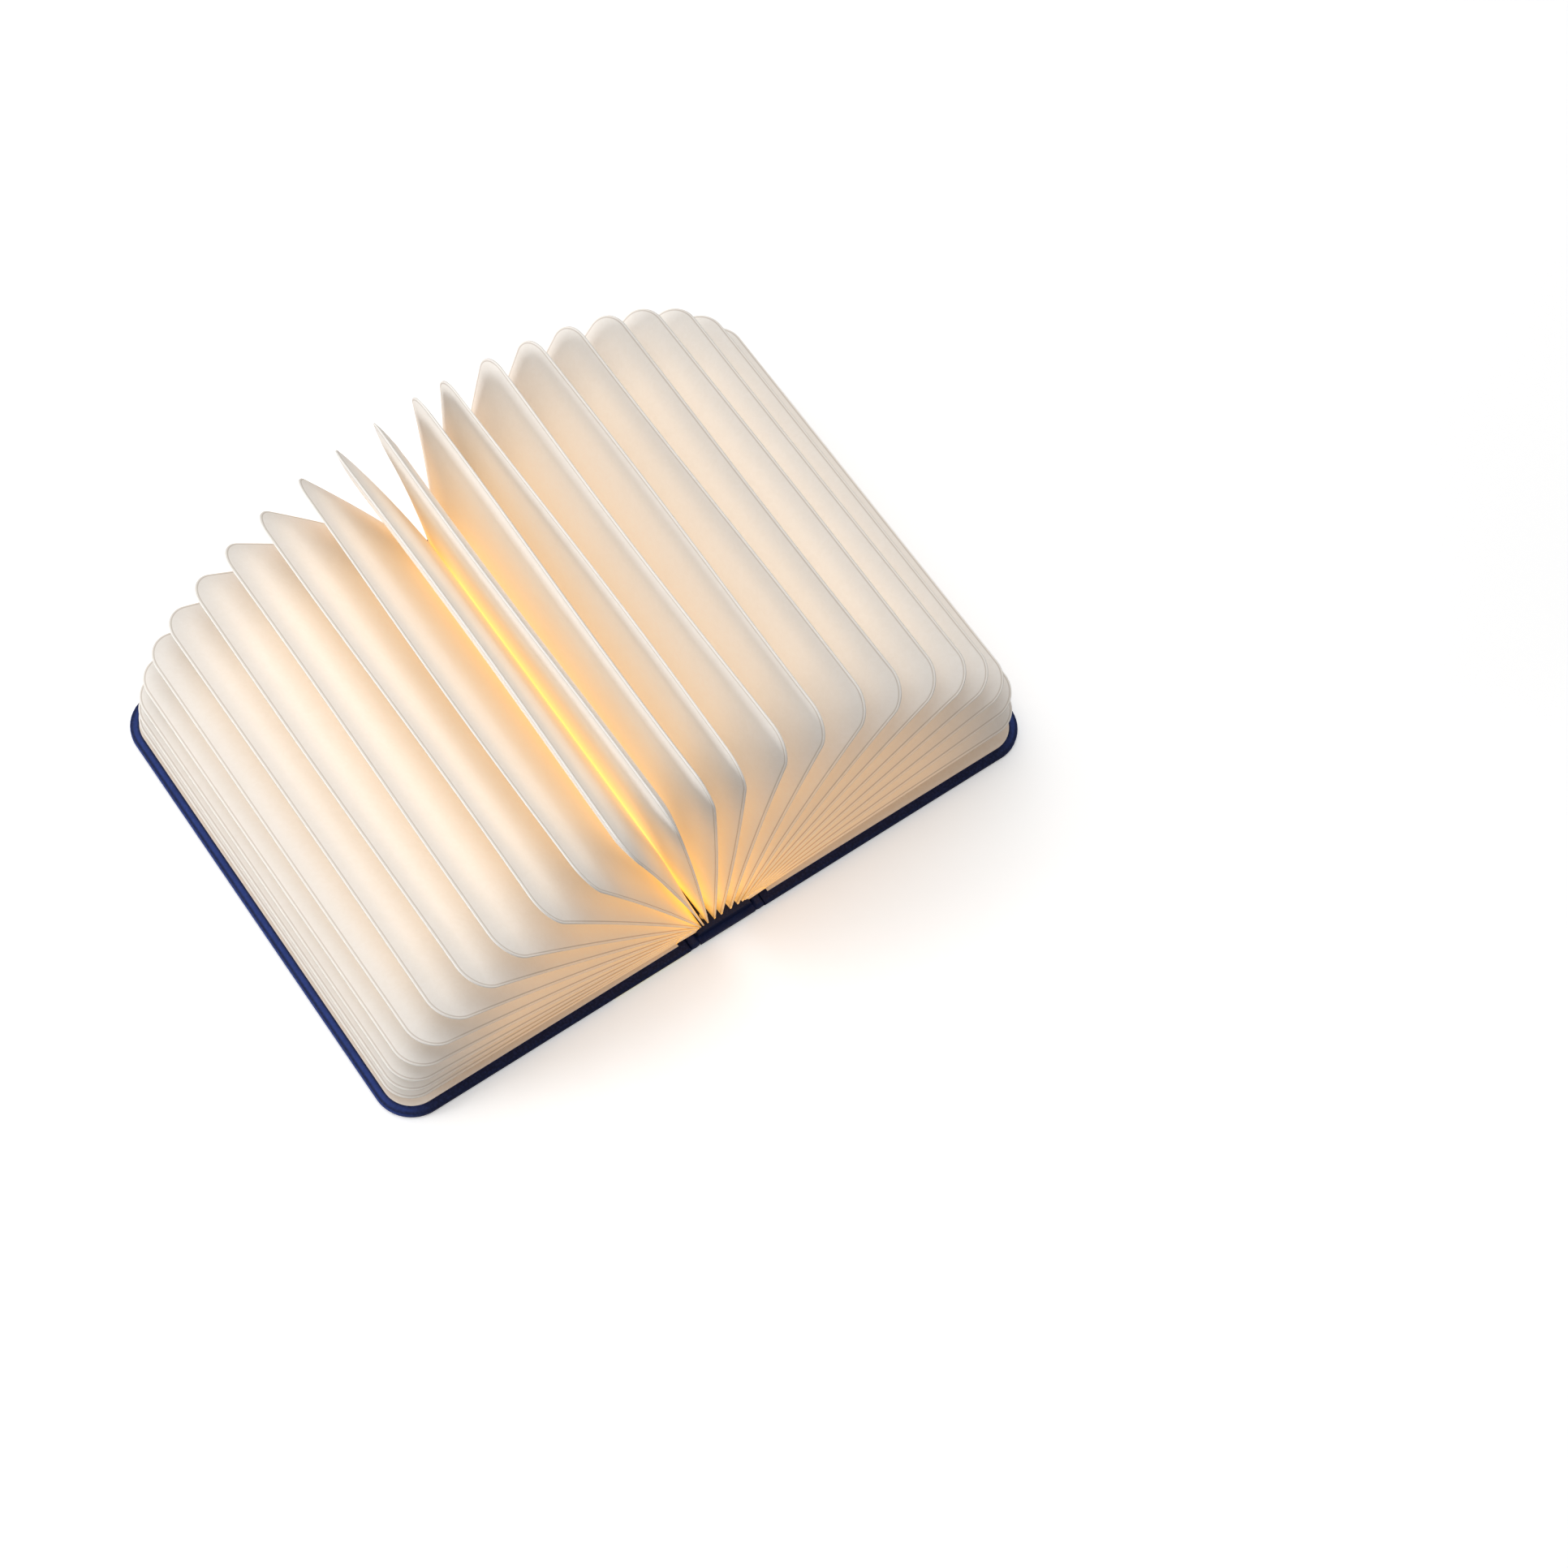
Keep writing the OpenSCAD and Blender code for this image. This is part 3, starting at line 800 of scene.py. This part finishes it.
def page_piece(suffix, plane, room, out, y, look, glow, paper):
    """Mesh of one stretch of a page, with its UV for the seam and its share of the block's light."""
    bright = 4 * MM
    edge = edge_distance(out, y, plane["tip"], plane["length"], look.corner)
    points = page_sheets(plane, room, out, y, edge, look)
    uv = np.stack([plane["tip"] - out, y], -1).reshape(-1, 2)
    lit = np.exp(-np.maximum(out - bright, 0) / glow.reach).ravel()
    return mesh_piece(plane["name"] + suffix, points, shell_faces(*out.shape), paper,
                      np.tile(uv, (2, 1)), {"lit": np.tile(lit, 2)})


def page_envelope(plane, room, look, glow, paper):
    """Two sheets of paper, joined along their seam, that ride with a page."""
    name, root, tip = plane["name"], plane["root"], plane["tip"]
    last_column, drawn_in = 1.5 * MM, 40 * MM
    inwards = np.array([0, 0.2, 0.5, 0.8, 1.1, 1.4, 2.0, 3.0, 4.5, 6.5, 9, 12, 15.5, 19.5, 24, 29.5,
                        36, 43, 50, 57, 64, 71, 77, 82, 86, 89.5, 92.5]) * MM
    columns = np.unique(np.append(tip - inwards[inwards < tip - root - last_column], root))
    out, y = leaf_grid(tip, plane["length"], look.corner, columns, tip - drawn_in)
    piece = page_piece("_envelope", plane, room, out, y, look, glow, paper)
    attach(piece, name + "_leaf")
    name + "_hinge"
    tuple(plane["pivot"] + plane["normal"] * plane["offset"])
    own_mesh(piece)
    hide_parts(name)


def page_root(plane, room, look, glow, paper):
    """The same two sheets from the block to the page's root."""
    overlap, columns = 0.6 * MM, 9
    y = np.concatenate([near_ends(-plane["length"] / 2, 0), near_ends(0, plane["length"] / 2)[1:]])
    out, y = np.meshgrid(np.linspace(plane["seat"], plane["root"] + overlap, columns), y)
    piece = page_piece("_root", plane, room, out, y, look, glow, paper)
    start = plane["pivot"] + plane["seat"] * plane["up"] + plane["aside"] * plane["normal"]
    end = start + (plane["root"] - plane["seat"]) * plane["up"]
    plane["name"] + "_leaf"
    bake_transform(piece)


# ---------------------------------------------------------------- operators


def look_of(context):
    """The scene's four groups of settings: covers, pages, glow and stage."""
    scene = context.scene
    return scene.booklamp_covers, scene.booklamp_pages, scene.booklamp_glow, scene.booklamp_stage


def paint(material, *nodes):
    """Gives CAD nodes a material."""
    for name in nodes:
        mesh = frame["nodes"][name].data
        mesh.materials.clear()
        mesh.materials.append(material)


def rim_highlight_shares(x, outer, corner):
    """Painted highlight on a cover's upper and lower side by the distance from its edge, most along the fore-edge.

    The side gets the painted highlight, the crease above it does not, and the turned-in rim gets it up to the end
    sheet."""
    fore = np.clip(1 - (COVER_EDGE_X - x) / corner, 0, 1)
    side_highlight, lower_fade = 0.9, 1.6 * MM
    places = np.array([0.0, 0.2, 0.45, 0.8, 1.3, 2.2, SHEET_MARGIN / MM - 0.3]) * MM
    upper = np.interp(outer, places, [side_highlight, 0.4, 0.0, 0.1, 1.0, 0.9, 0.0])
    lower = np.clip(side_highlight - outer / lower_fade, 0, 1)
    return upper * fore, lower * fore


def cover_columns(start, end):
    """Places across a cover, close together at its ends and at the cloth band's and end sheet's edge."""
    band = BAND_X + np.array([0.0, STEP, BAND_GROOVE / 2, BAND_GROOVE, BAND_GROOVE + STEP])
    sheet = end - SHEET_MARGIN + np.array([-0.2, 0.3]) * MM
    return np.unique(np.concatenate([near_ends(start, end), band, sheet]))


class BOOKLAMP_OT_covers(bpy.types.Operator):
    """Two cover boards wrapped in leatherette with rounded rims"""

    bl_idname = "booklamp.covers"
    bl_label = "Covers"

    def execute(self, context):
        covers = look_of(context)[0]
        leather = leatherette(covers)
        columns = cover_columns(PLATE_X, COVER_EDGE_X)
        drawn_in = BAND_X + 5 * MM
        x, y = leaf_grid(COVER_EDGE_X, BOOK_LENGTH, covers.corner, columns, drawn_in)
        outer = edge_distance(x, y, COVER_EDGE_X, BOOK_LENGTH, covers.corner)
        edge = np.minimum(outer, x - PLATE_X)
        top = RIM_Z - drop(edge, INNER_ROUND)
        bottom = drop(edge, covers.rim)
        # painted highlight along the rims, strongest at the fore-edge
        rim_highlight = rim_highlight_shares(x, outer, covers.corner)
        back = slab("back_cover_wrap", x, y, top, bottom, leather, False, rim_highlight)
        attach(back, "back_cover")
        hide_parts("back_skin")
        under_band = BAND_Z + drop(edge, FOLD_ROUND)
        groove = GROOVE_Z + drop(edge, 0.7 * MM)
        past_band = x - BAND_X - STEP / 2
        bottom = np.where(past_band <= BAND_GROOVE, groove, bottom)
        bottom = np.where(past_band <= 0, under_band, bottom)
        front = slab("front_cover_wrap", x, y, top, bottom, leather, True, rim_highlight)
        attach(front, "front_cover")
        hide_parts("front_skin")
        return {"FINISHED"}


class BOOKLAMP_OT_cloth(bpy.types.Operator):
    """Yellow book cloth: the band on the front cover and the outer face of the spine"""

    bl_idname = "booklamp.cloth"
    bl_label = "Book cloth"

    def execute(self, context):
        covers = look_of(context)[0]
        cloth = book_cloth(covers)
        y = near_ends(-BOOK_LENGTH / 2, BOOK_LENGTH / 2)
        x, y = np.meshgrid(near_ends(PLATE_X, BAND_X), y)
        ends = BOOK_LENGTH / 2 - np.abs(y)
        sides = np.minimum(x - PLATE_X, BAND_X - x)
        side_round, least = 0.25 * MM, 0.05 * MM
        bottom = drop(ends, covers.rim) + drop(sides, side_round)
        top = np.maximum(BAND_Z + drop(ends, FOLD_ROUND), bottom + least)
        band = slab("front_cloth_band", x, y, top, bottom, cloth, True)
        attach(band, "front_cover")
        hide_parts("front_band")
        end_margin, face_round = 0.8 * MM, 0.3 * MM
        half = BOOK_LENGTH / 2 - end_margin
        x, y = np.meshgrid(near_ends(-SPINE_HALF, SPINE_HALF), near_ends(-half, half))
        edge = np.minimum(half - np.abs(y), SPINE_HALF - np.abs(x))
        bottom = SPINE_Z + drop(edge, face_round)
        top = np.full_like(bottom, SPINE_CLOTH_Z)
        spine = slab("spine_cloth_face", x, y, top, bottom, cloth, False)
        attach(spine, "spine")
        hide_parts("spine_cloth")
        return {"FINISHED"}


def hinge_outline():
    """Points round a hinge's section, on the back side: the roll and its necks to spine and plate.

    The roll is a circle about the hinge line. Its neck to the plate runs below the plate's rim."""

    def arc(start, end, count):
        """Points of the roll between two angles in degrees."""
        angles = np.radians(np.linspace(start, end, count))
        return HINGE_X + ROLL_RADIUS * np.cos(angles), HINGE_Z + ROLL_RADIUS * np.sin(angles)

    spine_x = SPINE_HALF - 0.05 * MM
    plate_x = PLATE_X + np.array([0.1, 0.7, 0.7, 0.2, -0.3]) * MM
    plate_z = np.array([1.62, 1.6, 0.75, 0.42, 0.5]) * MM
    stretches = (
        (spine_x, LINING_TOP), arc(152, 0, 16), (plate_x, plate_z), arc(-52, -140, 10),
        (spine_x, SPINE_Z + 0.1 * MM),
    )
    return np.concatenate([np.column_stack(stretch) for stretch in stretches])


def swept(name, section, y, dome, material, front):
    """Closed solid: one closed section in X and Z carried along Y. Its ends are rounded like a dome.

    Over the last dome's length the section shrinks about its middle by a quarter circle. A last ring,
    shrunk almost to a point, closes each end."""
    centre = np.array([HINGE_X, HINGE_Z])
    shrinks_by, last_ring = 0.4, 0.02
    shrink = 1 - shrinks_by * drop(np.minimum(y - y[0], y[-1] - y), dome) / dome
    share = np.pad(shrink, 1, constant_values=last_ring)
    place = np.pad(y, 1, mode="edge")
    flat = centre + share[:, None, None] * (section[None] - centre)
    points = np.stack([flat[..., 0], np.repeat(place[:, None], len(section), 1), flat[..., 1]], -1)
    rows, columns = points.shape[:2]
    index = np.arange(rows * columns).reshape(rows, columns)
    after = np.roll(index, -1, 1)
    faces = np.stack([index[:-1], after[:-1], after[1:], index[1:]], -1).reshape(-1, 4)
    points = points.reshape(-1, 3)
    return mesh_piece(name, to_front(points) if front else points, faces, material)


class BOOKLAMP_OT_hinges(bpy.types.Operator):
    """Soft leatherette hinges between the spine and the covers"""

    bl_idname = "booklamp.hinges"
    bl_label = "Hinges"

    def execute(self, context):
        covers = look_of(context)[0]
        leather = leather_edge(covers)
        cloth = book_cloth(covers)
        half = BOOK_LENGTH / 2 - 0.1 * MM
        cloth_half = BOOK_LENGTH / 2 - 1.0 * MM
        dome, cloth_dome = 0.8 * MM, 0.4 * MM
        cloth_out, cloth_in = np.array([0.0, 0.08 * MM]), np.array([0.0, 0.2 * MM])
        outline = hinge_outline()
        under = outline[outline[:, 1] < HINGE_Z]
        for front, body, nodes in (
            (False, "back_cover", ("hinge_roll_back", "back_hinge")),
            (True, "front_cover", ("hinge_core_front", "front_hinge")),
        ):
            piece = swept(body + "_hinge_roll", outline, near_ends(-half, half), dome, leather, front)
            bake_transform(piece)
            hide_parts(*nodes)
            if front:
                layer = np.concatenate([under - cloth_out, under[::-1] + cloth_in])
                y = near_ends(-cloth_half, cloth_half)
                wrap = swept("front_hinge_cloth", layer, y, cloth_dome, cloth, front)
                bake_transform(wrap)
        return {"FINISHED"}


class BOOKLAMP_OT_lamp_block(bpy.types.Operator):
    """Lamp block in the spine with its window, port and electronics"""

    bl_idname = "booklamp.lamp_block"
    bl_label = "Lamp block"

    def execute(self, context):
        covers, pages, glow, _stage = look_of(context)
        paint(leather_edge(covers), "spine_lining")
        paint(moulded("navy plastic", (0.0035, 0.0085, 0.042), 0.55, 0.5 * MM),
              "lamp_housing", "lamp_lid")
        paint(glowing("frosted window", glow.near, glow.window, 12 * MM), "diffuser")
        paint(glowing("led package", glow.near, glow.window, 3 * MM), "leds_left", "leds_right")
        paint(circuit("white led board", (0.8, 0.8, 0.76), (0.7, 0.66, 0.5), (0.75, 0.75, 0.75)),
              "led_strip_left", "led_strip_right")
        paint(circuit("green board", (0.01, 0.09, 0.03), (0.05, 0.2, 0.05), (0.6, 0.58, 0.5)),
              "control_board")
        paint(moulded("black plastic", (0.012, 0.012, 0.012), 0.4, 0.3 * MM),
              "hall_sensor", "usb_tongue")
        paint(metal("battery foil", (0.5, 0.51, 0.53), 0.25), "battery")
        paint(moulded("red lead", (0.35, 0.01, 0.01), 0.4, 0.3 * MM), "battery_leads")
        paint(metal("port steel", (0.6, 0.6, 0.62), 0.22), "usb_shell", "lid_screws")
        paint(metal("nickel plate", (0.66, 0.64, 0.6), 0.18),
              "front_magnets", "back_magnets", "sensor_magnet")
        paint(grey_board(), "spine_board", "front_board", "back_board")
        paint(end_paper(pages, glow), "front_sheet", "back_sheet")
        return {"FINISHED"}


class BOOKLAMP_OT_pages(bpy.types.Operator):
    """Paper pages, each an envelope of two sheets, with the strips that lead to the lamp block"""

    bl_idname = "booklamp.pages"
    bl_label = "Pages"

    def execute(self, context):
        _covers, look, glow, _stage = look_of(context)
        paper = page_paper(look, glow)
        planes = [page_plane(name) for name in PAGES]
        for plane, room in zip(planes, rooms(planes, look)):
            page_envelope(plane, room, look, glow, paper)
            page_root(plane, room, look, glow, paper)
            paint(paper, plane["name"])
        return {"FINISHED"}


def floor_material(stage):
    """Floor that keeps its soft shadows. Only what the camera sees is lifted to white."""
    white_share = 0.1
    f = Finish.material("floor")
    seen = f.node("ShaderNodeLightPath", output="Is Camera Ray")
    colour = f.mix(seen, stage.floor, WHITE)
    lit = f.node("ShaderNodeBsdfPrincipled", None, {"Base Color": colour, "Roughness": 0.9})
    white = f.node("ShaderNodeEmission", None, {"Color": WHITE, "Strength": stage.white / white_share})
    both = f.node("ShaderNodeMixShader", None, {0: seen * white_share, 1: lit, 2: white})
    return f.end(both)


def add_floor(stage):
    """Large square just below the lamp."""
    half, below = 2.5, 0.1 * MM
    corners = np.array([(-1, -1), (1, -1), (1, 1), (-1, 1)]) * half
    mesh = bpy.data.meshes.new("floor")
    mesh.from_pydata(np.column_stack([corners, np.full(4, -below)]), [], [(0, 1, 2, 3)])
    mesh.materials.append(floor_material(stage))
    floor = bpy.data.objects.new("floor", mesh)
    bpy.context.scene.collection.objects.link(floor)


def studio_world(stage):
    """White for the camera, and an even light of the sky's level on everything else."""
    f = Finish(bpy.data.worlds.new("studio"))
    seen = f.node("ShaderNodeLightPath", output="Is Camera Ray")
    sky = f.node("ShaderNodeBackground", None, {"Color": WHITE, "Strength": stage.sky})
    white = f.node("ShaderNodeBackground", None, {"Color": WHITE})
    both = f.node("ShaderNodeMixShader", None, {0: seen, 1: sky, 2: white})
    return f.end(both, "ShaderNodeOutputWorld")


def add_softbox(name, place, aim, size, power):
    """Square area light that faces the aimed point."""
    light = bpy.data.lights.new(name, "AREA")
    light.shape = "SQUARE"
    light.size = size
    light.energy = power
    lamp = bpy.data.objects.new(name, light)
    lamp.location = place
    lamp.rotation_euler = (Vector(aim) - Vector(place)).to_track_quat("-Z", "Y").to_euler()
    bpy.context.scene.collection.objects.link(lamp)


def add_camera(stage):
    """Camera at a compass and a height angle from the aimed point, turned about its view."""
    back = Vector((
        math.sin(stage.azimuth) * math.cos(stage.elevation),
        -math.cos(stage.azimuth) * math.cos(stage.elevation),
        math.sin(stage.elevation),
    ))
    right = Vector((math.cos(stage.azimuth), math.sin(stage.azimuth), 0.0))
    up = back.cross(right)
    turn_right = math.cos(stage.roll) * right + math.sin(stage.roll) * up
    turn_up = -math.sin(stage.roll) * right + math.cos(stage.roll) * up
    camera = bpy.data.objects.new("camera", bpy.data.cameras.new("camera"))
    camera.data.lens = stage.lens
    camera.data.sensor_width = 36.0
    camera.data.clip_end = 10.0
    axes = Matrix((turn_right, turn_up, back)).transposed().to_4x4()
    camera.matrix_world = Matrix.Translation(Vector(stage.aim) + back * stage.distance) @ axes
    scene = bpy.context.scene
    scene.collection.objects.link(camera)
    scene.camera = camera


class BOOKLAMP_OT_stage(bpy.types.Operator):
    """Pale floor, soft light and the camera"""

    bl_idname = "booklamp.stage"
    bl_label = "Stage"

    def execute(self, context):
        stage = look_of(context)[3]
        add_floor(stage)
        context.scene.world = studio_world(stage)
        add_softbox("key light", (-0.10, 0.24, 1.20), aim=(0, 0, 0), size=0.8, power=stage.key)
        add_softbox("side light", (-0.95, 0.30, 0.28), aim=(-0.1, 0, 0), size=0.35, power=stage.side)
        add_camera(stage)
        context.scene.view_settings.view_transform = "Standard"
        return {"FINISHED"}


class BOOKLAMP_PT_panel(bpy.types.Panel):
    """Book lamp panel in the 3D view's sidebar"""

    bl_label = "Book Lamp"
    bl_idname = "BOOKLAMP_PT_panel"
    bl_space_type = "VIEW_3D"
    bl_region_type = "UI"
    bl_category = "Book Lamp"

    def draw(self, context):
        for operator in OPERATORS:
            self.layout.operator(operator.bl_idname)
        for look in look_of(context):
            box = self.layout.box()
            for key in look.__annotations__:
                box.prop(look, key)


SETTINGS = {
    "booklamp_covers": BookLampCovers,
    "booklamp_pages": BookLampPages,
    "booklamp_glow": BookLampGlow,
    "booklamp_stage": BookLampStage,
}
OPERATORS = (
    BOOKLAMP_OT_covers,
    BOOKLAMP_OT_cloth,
    BOOKLAMP_OT_hinges,
    BOOKLAMP_OT_lamp_block,
    BOOKLAMP_OT_pages,
    BOOKLAMP_OT_stage,
)


def register():
    for cls in (*SETTINGS.values(), *OPERATORS, BOOKLAMP_PT_panel):
        bpy.utils.register_class(cls)
    for key, cls in SETTINGS.items():
        setattr(bpy.types.Scene, key, PointerProperty(type=cls))


def unregister():
    for key in SETTINGS:
        delattr(bpy.types.Scene, key)
    for cls in (BOOKLAMP_PT_panel, *reversed(OPERATORS), *SETTINGS.values()):
        bpy.utils.unregister_class(cls)


def main():
    register()
    bpy.ops.booklamp.covers()
    bpy.ops.booklamp.cloth()
    bpy.ops.booklamp.hinges()
    bpy.ops.booklamp.lamp_block()
    bpy.ops.booklamp.pages()
    bpy.ops.booklamp.stage()


if __name__ == "__main__":
    main()
